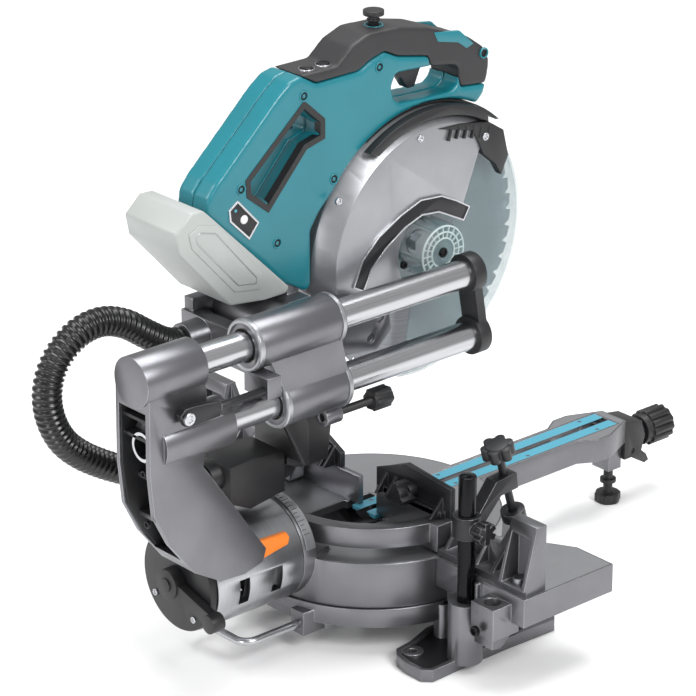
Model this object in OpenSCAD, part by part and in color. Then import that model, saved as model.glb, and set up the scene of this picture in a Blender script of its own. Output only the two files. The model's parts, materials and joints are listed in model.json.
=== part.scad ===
// Slide compound mitre saw, free standing on its own base casting.
// Millimetres. +Z up, the operator stands at -Y, +X is the operator's right.
// The origin is on the bench, under the turntable's axis.

/* [Blade] */
// Radius of the saw blade over its teeth
blade_r = 130; // [110:1:140]
// Thickness of the blade's body
blade_t = 2.4; // [1.8:0.1:3.2]
// Number of teeth
tooth_count = 48; // [24:1:80]
// Radius of the arbor hole
arbor_r = 12.5; // [8:0.5:15]

/* [Base and table] */
// Radius of the turntable
table_r = 128; // [115:1:140]
// Height of the table over the bench
table_z = 95; // [85:1:120]
// Thickness of the table's top
table_t = 8; // [5:1:12]
// Half the width over both wings
base_half_w = 245; // [230:1:300]
// How far the wings reach in front of the fence
wing_front = 87; // [70:1:95]
// Thickness of a wing's rim
wing_h = 29; // [20:1:35]
// Wall of the base and table castings
cast_wall = 6; // [4:1:9]
// Half the bench bolts' spacing across the saw
bolt_x = 132; // [125:1:150]
// Half the bench bolts' spacing from front to rear
bolt_y = 66; // [50:1:75]
// Radius of a bench bolt hole
bolt_r = 4.5; // [3:0.5:6]

/* [Table arm] */
// Front end of the table's arm, from the turning axis
arm_len = 338; // [300:1:380]
// Half the width of the arm's narrow part
arm_half_w = 22; // [18:1:24]
// Half the width of the arm's wide part
arm_wide_half_w = 33; // [28:1:36]
// Depth of the arm's side walls
arm_depth = 25; // [20:1:30]
// Radius of the mitre grip
grip_r = 19; // [14:1:22]

/* [Fence] */
// Height of the fixed fence over the table
fence_h = 30; // [20:1:34]
// Height of the sliding fences over the table
sub_fence_h = 67; // [50:1:75]
// Thickness of a fence plate
fence_t = 6; // [4:0.5:8]
// Travel of a sliding fence
sub_fence_travel = 66; // [40:1:66]

/* [Bevel arm and rails] */
// Radius of the bevel hub
hub_r = 51; // [40:1:55]
// Length of the moving hub
hub_len = 104; // [90:1:110]
// Radius of a rail
rail_r = 14; // [10:0.5:16]
// Wall of a rail's tube
rail_wall = 3; // [2:0.5:5]
// Side offset of the rails from the blade
rail_x = 75; // [70:1:85]
// Height of the upper rail over the table
rail_up_h = 255; // [245:1:270]
// Height of the lower rail over the table
rail_lo_h = 190; // [180:1:200]
// Travel of the carriage towards the operator
slide_travel = 165; // [120:1:165]
// Radius of a carriage sleeve
sleeve_r = 24; // [21:0.5:27]

/* [Head] */
// Width of the handle's two shells together
handle_w = 44; // [36:1:50]
// Wall of the handle's shells
shell_wall = 3; // [2:0.5:4]
// Radius of the motor's housing
motor_r = 46; // [40:1:50]
// Outside diameter of the dust hose
hose_d = 28; // [22:1:32]

/* [Vise] */
// Radius of the vise's post
vise_post_r = 8.5; // [6:0.5:10]
// Height of the post's top over the table
vise_post_h = 104; // [90:1:130]

/* [Fits] */
// Radial clearance of a turning or sliding fit
fit = 0.05; // [0.02:0.01:0.1]
// Gap between pieces that pass each other
gap = 1; // [0.5:0.1:1.5]

/* [Hidden] */
$fn = 72;

table_wall_z = 49;
ring_z = 29;
base_r = table_r + 2;
wing_low = table_z - wing_h;
wing_cut_angle = 60;
arm_swing_half = arm_half_w + gap;
kerf_half = 4;
kerf_board_t = 4;
kerf_side = 17;
kerf_front = -326;
kerf_back = 10;
slot_back = 60;
pivot_r = 8;
bench_foot_t = 12;
foot_in = 118;
foot_out = 168;
// One foot plate's outline in (X, Y), the same on both sides.
foot_points = [
    [106, -24], [106, 24], [117, 56], [120, 76], [130, 84], [146, 88], [168, 88], [176, 80],
    [174, 20], [174, -20], [176, -80], [168, -88], [146, -88], [130, -84], [120, -76], [117, -56]
];
foot_rim = 5;
post_x = -172;
post_y = 35;
socket_x = 210;
socket_y = 40;
bridge_r = 98;
bridge_w = 14;
bridge_z = 9;
bridge_h = 20;
drum_y = 116;
hub_y = drum_y + 16;
hub_back = hub_y + hub_len;
blade_y = -50;
blade_h = 267;
pivot_y = 150;
pivot_h = 240;
pin_r = 9;
pin_big_r = 15;
stopper_h = 220;
fence_knob_h = 45;
fence_foot_y = 25;
fence_bolt_x = [150, 225];
fence_bolt_y = 17;
sub_fence_end = 119;
horn_start = sub_fence_end + sub_fence_travel + gap;
rail_back = 340;
sleeve_up = [119, 222];
sleeve_lo = [111, 190];
rail_front_up = sleeve_up[0] - slide_travel - gap;
rail_front_lo = sleeve_lo[0] - slide_travel - gap;
knob_h = rail_lo_h - 32;
case_in_r = blade_r + 8;
case_wall = 2.5;
guard_r = case_in_r - 2;
guard_wall = 2;
drive_x = 16;
drive_w = 42;
motor_y = 40;
motor_h = 335;
pulley_small = 14;
pulley_big = 28;
vise_tilt = 17;
vise_feed = [post_x, -14, 83];
arm_x = [-94, -46];
latch_y = 192;
latch_h = 34;
guard_up = 45;
guard_down = 100;

// The dust hose's route: X, Y and height over the bench, chosen by hand.
hose_route = [
    [14, 222.1, 328], [14, 230, 328], [14, 244, 333], [15, 264, 346], [16, 286, 361],
    [17, 310, 369], [18, 334, 366], [19, 354, 353], [20, 367, 334], [20, 372, 311],
    [20, 368, 287], [20, 356, 264], [19, 338, 246], [17, 316, 231], [14, 292, 218],
    [10, 268, 206], [5, 246, 196], [1, 230, 190], [0, 221, 190], [0, 209.9, 190]
];

handle_points = [
    [64, 470], [106, 470], [120, 467], [134, 457], [207, 390], [217, 378], [219, 364],
    [128, 274], [96, 256], [96, 318], [85, 334], [28, 388], [-18, 402], [-50, 405], [-84, 400],
    [-108, 392], [-122, 404], [-128, 422], [-130, 437], [-122, 451], [-102, 465], [-51, 484],
    [-13, 492], [24, 493], [46, 485]
];
hole_points = [
    [-10, 448], [-4, 436], [-7, 424], [-14, 418], [-46, 416], [-80, 415], [-88, 421],
    [-91, 434], [-86, 440], [-51, 446]
];
carry_points = [[104, 440], [84, 422], [84, 409], [104, 404], [148, 356], [168, 372], [169, 384]];
grip_zone = [
    [108, 500], [108, 471], [87, 459], [36, 460], [22, 467], [4, 472], [-12, 464], [-51, 456],
    [-56, 441], [-88, 437], [-93, 417], [-160, 410], [-160, 500]
];
// The line along which the battery slides into the handle.
battery_line = [[128, 274], [219, 364]];

module on_table() {
    translate([0, 0, table_z]) children();
}

module box(x, y, z) {
    translate([x[0], y[0], z[0]]) cube([x[1] - x[0], y[1] - y[0], z[1] - z[0]]);
}

module rod_x(r, x, y, z) {
    translate([x[0], y, z]) rotate([0, 90, 0]) cylinder(r = r, h = x[1] - x[0]);
}

module rod_y(r, x, y, z) {
    translate([x, y[0], z]) rotate([-90, 0, 0]) cylinder(r = r, h = y[1] - y[0]);
}

module rod_z(r, x, y, z) {
    translate([x, y, z[0]]) cylinder(r = r, h = z[1] - z[0]);
}

// An outline in (Y, Z) given thickness along X.
module side_plate(x, points) {
    translate([x[0], 0, 0]) rotate([90, 0, 90]) linear_extrude(x[1] - x[0]) polygon(points);
}

module side_shape(x) {
    translate([x[0], 0, 0]) rotate([90, 0, 90]) linear_extrude(x[1] - x[0]) children();
}

module both_sides() {
    children();
    mirror([1, 0, 0]) children();
}

// A ring about the vertical axis.
module ring_z(r_in, r_out, z) {
    difference() {
        rod_z(r_out, 0, 0, z);
        rod_z(r_in, 0, 0, [z[0] - 1, z[1] + 1]);
    }
}

module ring_y(r_in, r_out, x, y, z) {
    difference() {
        rod_y(r_out, x, y, z);
        rod_y(r_in, x, [y[0] - 1, y[1] + 1], z);
    }
}

// A profile of (radius, X) turned about the blade's axis.
module blade_turned(points) {
    translate([0, blade_y, blade_h]) rotate([0, 90, 0]) rotate_extrude() polygon(points);
}

/* Base */

// The space that the arm sweeps, turned to its stop on one side.
module arm_sweep(angle) {
    rotate([0, 0, angle])
        box([-400, arm_swing_half], [-500, 0], [table_wall_z, table_z + 1]);
}

module wing() {
    difference() {
        box([table_r - 30, base_half_w], [-wing_front, 30], [wing_low, table_z]);
        box([table_r + cast_wall, base_half_w - cast_wall], [-wing_front + cast_wall, 30 - cast_wall],
            [wing_low - 1, table_z - cast_wall]);
    }
    for (y = [-55, -20])
        box([table_r + 2, base_half_w - 2], [y, y + 4], [wing_low + 6, table_z - 2]);
}

module foot() {
    difference() {
        union() {
            difference() {
                linear_extrude(bench_foot_t) polygon(foot_points);
                translate([0, 0, bench_foot_t - 3]) linear_extrude(4)
                    offset(delta = -foot_rim) polygon(foot_points);
            }
            for (s = [-1, 1])
                rod_z(bolt_r + 6, bolt_x, s * bolt_y, [1, bench_foot_t - 0.5]);
            rod_z(9, foot_in + 6, 19, [bench_foot_t - 4, 45]);
            box([foot_in, foot_out - 6], [-46, 18], [bench_foot_t - 4, wing_low + 4]);
        }
        box([foot_in + cast_wall, foot_out - 6 - cast_wall], [-40, 12], [bench_foot_t - 3, wing_low + 5]);
        for (s = [-1, 1])
            rod_z(bolt_r, bolt_x, s * bolt_y, [-1, bench_foot_t + 1]);
    }
}

module socket_block(x, half, r, top) {
    difference() {
        union() {
            box([x - half, x + half], [socket_y - 18, socket_y + 13], [top - 32, top]);
            side_plate([x - half + 3, x + half - 3], [
                [socket_y - 16, top - 31], [socket_y + 11, top - 31], [socket_y + 11, top - 42],
                [socket_y, top - 44]
            ]);
            box([x - half, x + half], [20, 30], [top - 32, table_z - 2]);
        }
        rod_z(r, x, socket_y, [top - 33, top + 1]);
    }
}

module base_casting() color("#77777b") difference() {
    union() {
        ring_z(base_r - 26, base_r, [ring_z, table_wall_z - gap]);
        rod_z(26, 0, 0, [ring_z, table_wall_z - gap]);
        for (a = [45:90:315])
            rotate([0, 0, a]) box([20, base_r - 20], [-6, 6], [ring_z + 2, table_wall_z - gap - 2]);
        both_sides() difference() {
            union() {
                wing();
                foot();
            }
            rod_z(table_r + gap, 0, 0, [table_wall_z - gap, table_z + 1]);
        }
        rod_z(17, post_x, post_y, [bench_foot_t - 4, 70]);
        box([post_x - 14, post_x + 14], [18, 34], [38, table_z - 4]);
        socket_block(-socket_x - 3, 15, vise_post_r + fit, table_z - 10);
        socket_block(socket_x + 3, 15, vise_post_r + fit, table_z - 10);
        for (s = [-1, 1])
            box([s * 42 - 9, s * 42 + 9], [base_r - 24, base_r + 3], [18, 42]);
        box([-62, 62], [-base_r - 6, -base_r + 40], [ring_z, table_wall_z - gap]);
        for (s = [-1, 1])
            box([s * 36 - 13, s * 36 + 13], [-base_r - 6, -base_r + 24], [3, ring_z + 1]);
    }
    rod_z(pivot_r + 2, 0, 0, [ring_z - 1, table_wall_z]);
    rod_z(vise_post_r + fit, post_x, post_y, [37, 71]);
    rod_z(vise_post_r + 2, post_x, post_y, [70, table_z + 1]);
    both_sides() for (x = fence_bolt_x)
        rod_z(4 + fit, x, fence_bolt_y, [table_z - 15, table_z + 1]);
    for (s = [-1, 1])
        rod_y(4 + fit, s * 42, [base_r - 12, base_r + 4], 28);
    both_sides() arm_sweep(wing_cut_angle);
}

module rubber_feet() color("#1b1b1c") for (s = [-1, 1])
    rod_z(10, s * 36, -base_r + 9, [0, 3]);

module wire_stay() color("#d8d8da") {
    for (s = [-1, 1]) {
        rod_y(4, s * 42, [base_r - 11, 184], 28);
        translate([s * 28, 184, 28]) rotate([0, 0, s < 0 ? 90 : 0])
            rotate_extrude(angle = 90) translate([14, 0]) circle(r = 4, $fn = 24);
    }
    rod_x(4, [-28, 28], 198, 28);
}

module mitre_scale() color("#c9c9cc") difference() {
    ring_z(base_r + 2, base_r + 19, [table_wall_z - gap, table_wall_z + 1]);
    box([-200, 200], [-52, 200], [0, 100]);
    for (a = [-45:15:45])
        rotate([0, 0, a]) box([-3, 3], [-base_r - 20, -base_r - 14], [0, 100]);
}

module rib(x, y, z) {
    side_plate([x, x + 4], [[fence_t - 1, z[0]], [y, z[0]], [fence_t - 1, z[1]]]);
}

module fence_half(inner) {
    difference() {
        union() {
            box([inner, 242], [0, fence_t], [0.2, fence_h]);
            box([table_r - 6, 242], [0, fence_foot_y], [0.2, 7]);
            side_plate([208, 242], [[0, 6], [28, 6], [12, sub_fence_h], [0, sub_fence_h]]);
            translate([0, fence_t, 0]) rotate([90, 0, 0]) linear_extrude(fence_t)
                polygon([[horn_start, fence_h - 1], [209, sub_fence_h], [209, fence_h - 1]]);
        }
        box([212, 238], [fence_t, 40], [7, sub_fence_h - 12]);
        for (x = fence_bolt_x)
            rod_z(4 + fit, x, fence_bolt_y, [-1, 8]);
    }
    for (x = [126, 168, 190])
        rib(x, 22, [6, fence_h - 3]);
}

module fence_fixed() color("#4c4c4f") on_table() {
    fence_half(13);
    mirror([1, 0, 0]) fence_half(13);
    difference() {
        union() {
            intersection() {
                ring_z(bridge_r, bridge_r + bridge_w, [bridge_z, bridge_z + bridge_h]);
                box([-200, 200], [6, 200], [0, 60]);
            }
            both_sides() box([bridge_r - 2, bridge_r + bridge_w + 8], [fence_t - 1, 24], [bridge_z - 7, bridge_z + bridge_h]);
        }
        rotate([0, 0, 54]) box([bridge_r + 8, bridge_r + 30], [-9, 9], [bridge_z + 4, 60]);
    }
}

module fence_bolts() color("#222224") on_table() both_sides() for (x = fence_bolt_x) {
    rod_z(4, x, fence_bolt_y, [-wing_h + cast_wall + 12, 8]);
    rod_z(6.5, x, fence_bolt_y, [7.02, 13]);
}

module pivot_bolt() color("#8d8d90") {
    rod_z(pivot_r, 0, 0, [22, 66]);
    translate([0, 0, 16]) cylinder(r = 13, h = 6, $fn = 6);
    rod_z(13, 0, 0, [22, ring_z - 0.1]);
}

module pivot_bush() color("#b98d4b")
    ring_z(pivot_r + 0.02, pivot_r + 2 - 0.02, [ring_z, table_wall_z - gap]);

/* Turntable */

module arm_outline(grow) {
    polygon([
        [-arm_half_w - grow, -80], [-arm_half_w - grow, -262], [-arm_wide_half_w - grow, -281],
        [-arm_wide_half_w - grow, -300], [-17 - grow, -arm_len], [17 + grow, -arm_len],
        [arm_wide_half_w + grow, -300], [arm_wide_half_w + grow, -281],
        [arm_half_w + grow, -262], [arm_half_w + grow, -80]
    ]);
}

module turntable() color("#8b8b8f") difference() {
    union() {
        rod_z(table_r, 0, 0, [table_z - table_t, table_z]);
        ring_z(table_r - cast_wall, table_r, [table_wall_z, table_z]);
        rod_z(24, 0, 0, [table_wall_z, 72]);
        for (a = [20:40:340])
            rotate([0, 0, a]) box([18, table_r - 3], [-3, 3], [table_wall_z + 4, 67]);
        translate([0, 0, table_z - arm_depth]) linear_extrude(arm_depth) arm_outline(0);
        box([-arm_half_w, arm_half_w], [-table_r - 8, -table_r + 12], [table_wall_z + 3, table_z - 4]);
        box([-44, 44], [table_r - 34, drum_y + 1], [table_wall_z + 3, table_z + 4]);
        difference() {
            on_table() rod_y(hub_r, 0, [drum_y, hub_y - gap], 0);
            box([-hub_r, hub_r], [drum_y - 1, hub_y], [0, table_wall_z + gap]);
        }
        box([-12, 12], [kerf_front - 12, kerf_front + 6], [40, table_z - 6]);
    }
    translate([0, 0, table_z - arm_depth - 1]) linear_extrude(arm_depth - 6) difference() {
        arm_outline(-5);
        translate([-60, kerf_front - 20]) square([120, 14]);
    }
    box([-arm_half_w + 6, arm_half_w - 6], [-table_r - 9, -table_r + 13], [table_wall_z + 2, table_z - 12]);
    box([-kerf_side, kerf_side], [kerf_front, slot_back], [table_z - kerf_board_t, table_z + 1]);
    box([-11, 11], [kerf_front + 8, slot_back], [table_z - 26, table_z]);
    box([-26, 26], [-20, slot_back + 24], [72, table_z + 1]);
    box([-30, 30], [kerf_back, slot_back + 24], [60, table_z + 1]);
    rod_z(pivot_r + fit, 0, 0, [table_wall_z - 1, 73]);
    on_table() rod_y(pin_big_r, 0, [drum_y - 3, hub_y + 1], 0);
    rod_z(5 + fit, 0, kerf_front - 6, [39, 63]);
    rod_y(4.5, 0, [-arm_len - 1, -100], 68);
    for (x = [-1, 1], y = [-300, -200, -100, -10])
        rod_z(2 + fit, x * 13, y, [table_z - 14, table_z]);
}

module kerf_board(side) {
    translate([0, kerf_front + 0.5, table_z]) mirror([side < 0 ? 1 : 0, 0, 0]) rotate([90, 0, 180])
        mirror([1, 0, 0]) linear_extrude(kerf_back - kerf_front) polygon([
            [kerf_half, 0], [kerf_side - 0.3, 0], [kerf_side - 0.3, -kerf_board_t + 0.05],
            [kerf_half + 6, -kerf_board_t + 0.05]
        ]);
}

module screw_holes(side) {
    for (y = [-300, -200, -100, -10])
        rod_z(2.1, side * 13, y, [table_z - 10, table_z + 1]);
}

module kerf_board_left() color("#6fb9cc") difference() {
    kerf_board(-1);
    screw_holes(-1);
}

module kerf_board_right() color("#6fb9cc") difference() {
    kerf_board(1);
    screw_holes(1);
}

module kerf_screws() color("#26262a") for (x = [-1, 1], y = [-300, -200, -100, -10])
    rod_z(2, x * 13, y, [table_z - 13, table_z - 0.4]);

module grip_housing() color("#232325") difference() {
    union() {
        side_plate([-17, 17], [
            [-arm_len - 0.2, 92], [-arm_len - 24, 88], [-arm_len - 30, 70], [-arm_len - 24, 50],
            [-arm_len - 0.2, 50]
        ]);
        rod_y(12, 0, [-arm_len - 36, -arm_len - 20], 68);
    }
    rod_y(5, 0, [-arm_len - 40, -arm_len + 1], 68);
    rod_x(3 + fit, [-18, 18], -arm_len - 12, 57);
    box([-9, 9], [-arm_len - 31, -arm_len + 1], [49, 63]);
}

module bevel_scale() color("#b9bdc1") on_table() difference() {
    ring_y(hub_r + 0.02, hub_r + 1.6, 0, [drum_y + 1, hub_y - gap - 3], 0);
    box([-100, 100], [0, 300], [-100, 12]);
}

module mitre_grip() color("#1c1c1e") difference() {
    union() {
        rod_y(grip_r - 3, 0, [-arm_len - 75, -arm_len - 37], 68);
        for (a = [0:30:330])
            translate([0, 0, 68]) rotate([0, a, 0]) rod_y(4, grip_r - 4, [-arm_len - 73, -arm_len - 45], 0);
    }
    rod_y(4, 0, [-arm_len - 60, -arm_len - 36], 68);
}

module mitre_lock_rod() color("#9a9a9e")
    rod_y(3.95, 0, [-arm_len - 60, -table_r - 20], 68);

module mitre_latch_lever() color("#1c1c1e") {
    rod_x(3, [-16, 16], -arm_len - 12, 57);
    difference() {
        side_plate([-8, 8], [
            [-arm_len - 6, 60.5], [-arm_len - 20, 60.5], [-arm_len - 42, 42], [-arm_len - 46, 34],
            [-arm_len - 40, 32], [-arm_len - 10, 50], [-arm_len - 5, 52]
        ]);
        rod_x(2.9, [-9, 9], -arm_len - 12, 57);
    }
}

module foot_bolt() color("#1c1c1e") {
    rod_z(12.5, 0, kerf_front - 6, [0, 10]);
    for (a = [0:60:300])
        translate([0, kerf_front - 6, 0]) rotate([0, 0, a]) rod_z(3, 11, 0, [1, 9]);
    rod_z(5, 0, kerf_front - 6, [9, 50]);
    rod_z(8.5, 0, kerf_front - 6, [22, 26]);
}

/* Sliding fences */

module sub_fence(inner, outer, inner_h) {
    low = fence_h + 0.4;
    difference() {
        union() {
            translate([0, fence_t, 0]) rotate([90, 0, 0]) linear_extrude(fence_t) polygon([
                [inner, low], [outer, low], [outer, sub_fence_h - 6], [inner + 42, sub_fence_h],
                [inner, inner_h]
            ]);
            box([inner + 12, outer - 8], [fence_t - 1, fence_t + 6], [low, low + 6]);
            for (x = [inner + 14, (inner + outer) / 2 - 26, outer - 14])
                side_plate([x, x + 3], [
                    [fence_t - 1, low], [fence_t + 16, low + 1], [fence_t - 1, sub_fence_h - 16]
                ]);
        }
        rod_y(3.5 + fit, (inner + outer) / 2, [-1, 40], fence_knob_h);
    }
}

module sub_fence_left() color("#4a4a4c") on_table() mirror([1, 0, 0]) sub_fence(13, sub_fence_end, 50);

module sub_fence_right() color("#4a4a4c") on_table() sub_fence(40, 108, 46);

module fence_knob(x) {
    rod_y(3.5, x, [fence_t / 2, 30], fence_knob_h);
    rod_y(7, x, [fence_t + 0.3, fence_t + 10], fence_knob_h);
    for (a = [0:120:240])
        translate([x, 0, fence_knob_h]) rotate([0, a, 0]) box([-3, 3], [fence_t + 8, 30], [0, 12]);
    rod_y(8, x, [20, 30], fence_knob_h);
}

module fence_knob_left() color("#1c1c1e") on_table() fence_knob(-66);

module fence_knob_right() color("#1c1c1e") on_table() fence_knob(74);

/* Vise */

module vise_post() color("#1a1a1c") {
    rod_z(vise_post_r, post_x, post_y, [40, table_z + vise_post_h]);
}

module vise_arm() color("#1a1a1c") on_table() difference() {
    union() {
        rod_z(13.5, post_x, post_y, [42, 64]);
        rod_x(7.5, [post_x - 27, post_x - 10], post_y, 53);
        for (a = [0:60:300])
            translate([0, post_y, 53]) rotate([a, 0, 0])
                box([post_x - 28, post_x - 19], [-3, 3], [0, 11]);
        side_plate([post_x - 7, post_x + 7], [
            [post_y - 8, 44], [post_y - 8, 62], [4, 90], [-22, 92], [-24, 76], [-2, 74]
        ]);
    }
    rod_z(vise_post_r + fit, post_x, post_y, [41, 65]);
    translate(vise_feed) rotate([-vise_tilt, 0, 0]) cylinder(r = 4 + fit, h = 80, center = true);
}

module vise_screwed() {
    on_table() translate(vise_feed) rotate([-vise_tilt, 0, 0]) children();
}

module vise_knob() color("#1a1a1c") vise_screwed() {
    translate([0, 0, -38.5]) cylinder(r = 4, h = 69);
    translate([0, 0, 30]) {
        cylinder(r = 11, h = 14);
        for (a = [0:60:300])
            rotate([0, 0, a]) translate([11, 0, 1]) cylinder(r = 5, h = 12);
    }
}

module vise_pad() color("#1a1a1c") vise_screwed() difference() {
    translate([0, 0, -44]) cylinder(r = 12, h = 11);
    translate([0, 0, -39]) cylinder(r = 4 + fit, h = 10);
}

/* Bevel arm */

module bevel_hub() color("#a9a9ad") on_table() difference() {
    union() {
        difference() {
            rod_y(hub_r, 0, [hub_y, hub_back], 0);
            rod_y(hub_r - 8, 0, [hub_y + 14, hub_back + 1], 0);
        }
        rod_x(8, [-hub_r + 0.4, -30], latch_y, latch_h);
    }
    rod_y(pin_big_r + fit, 0, [hub_y - 1, hub_y + 20], 0);
    rod_x(3 + fit, [-60, -30], latch_y, latch_h);
    for (a = [-97, 150], y = [hub_y + 26, hub_y + 66])
        rotate([0, a, 0]) box([-13, 13], [y, y + 12], [hub_r - 12, hub_r + 1]);
}

module hub_cap() color("#1b1b1d") on_table() difference() {
    union() {
        rod_y(hub_r - 1, 0, [hub_back + 0.2, hub_back + 9], 0);
        rod_y(hub_r - 8.2, 0, [hub_back - 8, hub_back + 1], 0);
    }
    rod_y(hub_r - 12, 0, [hub_back - 9, hub_back + 5], 0);
    rod_y(7 + fit, 0, [hub_back, hub_back + 10], 0);
}

module arm_side() {
    polygon([
        [250, 176], [282, 186], [286, 162], [232, 84], [214, 58], [218, 46], [240, 40],
        [268, 42], [298, 60], [326, 96], [342, 128], [346, 170], [345, 254], [282, 254],
        [280, 212], [250, 200]
    ]);
}

module arm_casting() color("#7b7b7f") on_table() difference() {
    union() {
        difference() {
            side_shape(arm_x) arm_side();
            side_shape([arm_x[0] + cast_wall, arm_x[1] + 1]) offset(delta = -cast_wall) arm_side();
            side_plate([arm_x[0] + cast_wall, arm_x[1] - 4], [
                [300, 74], [360, 74], [360, rail_up_h - sleeve_r - 4], [300, rail_up_h - sleeve_r - 4]
            ]);
        }
        for (h = [112, 150])
            box([arm_x[0] + 2, arm_x[1] - 1], [290, 326], [h, h + 4]);
        rod_y(sleeve_r, -rail_x, [282, 350], rail_up_h);
        rod_y(sleeve_r, -rail_x, [250, 330], rail_lo_h);
        box([arm_x[1] - 3, 8], [hub_back - 24, hub_back - 0.2], [hub_r - 9, hub_r + 10]);
        box([arm_x[1] - 8, -20], [hub_back - 24, hub_back - 0.2], [16, hub_r + 10]);
        box([arm_x[0] + 2, arm_x[1]], [hub_back - 16, hub_back + 20], [47, 58]);
    }
    rod_y(rail_r, -rail_x, [240, 341], rail_up_h);
    rod_y(rail_r, -rail_x, [240, 341], rail_lo_h);
    rod_y(hub_r + 0.05, 0, [hub_y, hub_back + 10], 0);
    rod_x(4 + fit, [arm_x[0] - 1, arm_x[0] + 12], 312, stopper_h);
}

module rail(h, front) {
    on_table() ring_y(rail_r - rail_wall, rail_r, -rail_x, [front, rail_back], h);
}

module rail_upper() color("#d9d9dc") rail(rail_up_h, rail_front_up);

module rail_lower() color("#d9d9dc") rail(rail_lo_h, rail_front_lo);

module rail_end_cap() color("#1b1b1d") on_table() {
    rod_y(rail_r + 5, -rail_x, [rail_front_up - 14, rail_front_up - 0.1], rail_up_h);
    rod_y(rail_r + 5, -rail_x, [rail_front_lo - 14, rail_front_lo - 0.1], rail_lo_h);
    side_plate([-rail_x - 12, -rail_x + 12], [
        [rail_front_up - 14, rail_up_h - 10], [rail_front_up - 4, rail_up_h - 10],
        [rail_front_lo - 4, rail_lo_h + 10], [rail_front_lo - 14, rail_lo_h + 10]
    ]);
    rod_y(rail_r - rail_wall - fit, -rail_x, [rail_front_up - 1, rail_front_up + 12], rail_up_h);
    rod_y(rail_r - rail_wall - fit, -rail_x, [rail_front_lo - 1, rail_front_lo + 12], rail_lo_h);
}

module dust_duct() color("#1b1b1d") on_table() difference() {
    union() {
        side_plate([-26, 22], [[134, 68], [134, 108], [176, 112], [200, 110], [200, 74], [176, 62]]);
        rod_y(hose_d / 2 + 2, 0, [198, 212], 95);
        box([-12, 12], [184, 198], [hub_r + 0.1, 80]);
    }
    side_plate([-22, 18], [[133, 72], [133, 104], [176, 108], [196, 106], [196, 78], [176, 66]]);
    rod_y(hose_d / 2 - 3, 0, [190, 213], 95);
    rod_y(hose_d / 2 + 0.1, 0, [209.8, 213], 95);
}

// One ring of points round the hose's line at a route point.
function unit(v) = v / norm(v);
function route_dir(i) = unit(
    hose_route[min(i + 1, len(hose_route) - 1)] - hose_route[max(i - 1, 0)]
);
function hose_ring(i, n, r) = [
    for (k = [0:n - 1])
        let (side = unit(cross(route_dir(i), [1, 0, 0])), up = cross(route_dir(i), side))
            hose_route[i] + r * (cos(360 * k / n) * side + sin(360 * k / n) * up)
];

module dust_hose() color("#18181a") {
    n = 12;
    last = len(hose_route) - 1;
    polyhedron(
        points = [for (i = [0:last]) each hose_ring(i, n, hose_d / 2)],
        faces = concat(
            [[for (k = [0:n - 1]) k]],
            [for (i = [0:last - 1], k = [0:n - 1])
                [i * n + k, (i + 1) * n + k, (i + 1) * n + (k + 1) % n, i * n + (k + 1) % n]],
            [[for (k = [n - 1:-1:0]) last * n + k]]
        )
    );
}

module bevel_lock_lever() color("#1b1b1d") on_table() {
    rod_y(7, 0, [hub_y + 24, hub_back + 24], 0);
    rod_y(15, 0, [hub_back + 9.5, hub_back + 22], 0);
    rotate([0, -105, 0]) box([-7, 7], [hub_back + 11, hub_back + 20], [10, 66]);
    rotate([0, -105, 0]) rod_y(9, 0, [hub_back + 10, hub_back + 24], 66);
}

module bevel_latch() color("#f0923a") on_table() {
    rod_x(3, [-hub_r - 5, -32], latch_y, latch_h);
    rod_x(11, [-hub_r - 6, -hub_r - 0.5], latch_y, latch_h);
    side_plate([-hub_r - 6, -hub_r - 0.5], [
        [latch_y, latch_h - 10], [latch_y, latch_h + 10], [latch_y - 34, latch_h + 9],
        [latch_y - 38, latch_h + 3], [latch_y - 36, latch_h - 4]
    ]);
}

module stopper_arm() color("#1b1b1d") on_table() {
    rod_x(4, [arm_x[0] - 12, arm_x[0] + 10], 312, stopper_h);
    side_plate([arm_x[0] - 12, arm_x[0] - 5.2], [
        [320, stopper_h + 4], [314, stopper_h + 9], [304, stopper_h + 9], [276, stopper_h + 6],
        [270, stopper_h], [276, stopper_h - 8], [304, stopper_h - 9], [314, stopper_h - 8]
    ]);
    rod_y(4, arm_x[0] - 9.2, [sleeve_up[1] + gap, 274], stopper_h);
}

module bevel_pin() color("#9a9a9e") on_table() {
    rod_y(pin_big_r, 0, [drum_y - 3, hub_y + 15], 0);
    rod_y(20, 0, [hub_y + 14.1, hub_y + 21], 0);
}

/* Carriage */

module carriage() color("#88888c") on_table() difference() {
    union() {
        rod_y(sleeve_r, -rail_x, sleeve_up, rail_up_h);
        rod_y(sleeve_r, -rail_x, sleeve_lo, rail_lo_h);
        side_plate([-rail_x - 18, -rail_x + 20], [
            [121, rail_up_h - 14], [206, rail_up_h - 14], [188, rail_lo_h + 14], [113, rail_lo_h + 14]
        ]);
        side_plate([-58, -45], [
            [122, 262], [122, 218], [146, 196], [190, 196], [196, 228], [186, 266]
        ]);
        side_plate([30, 42], [[134, 262], [128, 226], [146, 214], [196, 214], [196, 262]]);
        box([-58, 42], [184, 200], [214, 250]);
        box([arm_x[0] - 14, -rail_x], [206, 222], [stopper_h - 8, stopper_h + 12]);
        rod_y(9, -rail_x, [sleeve_lo[0], 130], knob_h);
        ring_y(hose_d / 2 - 3, hose_d / 2 + 2, 14, [184, 222], 233);
    }
    rod_y(rail_r + 2, -rail_x, [100, 230], rail_up_h);
    rod_y(rail_r + 2, -rail_x, [100, 230], rail_lo_h);
    rod_x(pin_r, [-59, 43], pivot_y, pivot_h);
    rod_y(hose_d / 2 - 3, 14, [180, 223], 233);
    rod_y(4 + fit, -rail_x, [100, 131], knob_h);
}

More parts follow.
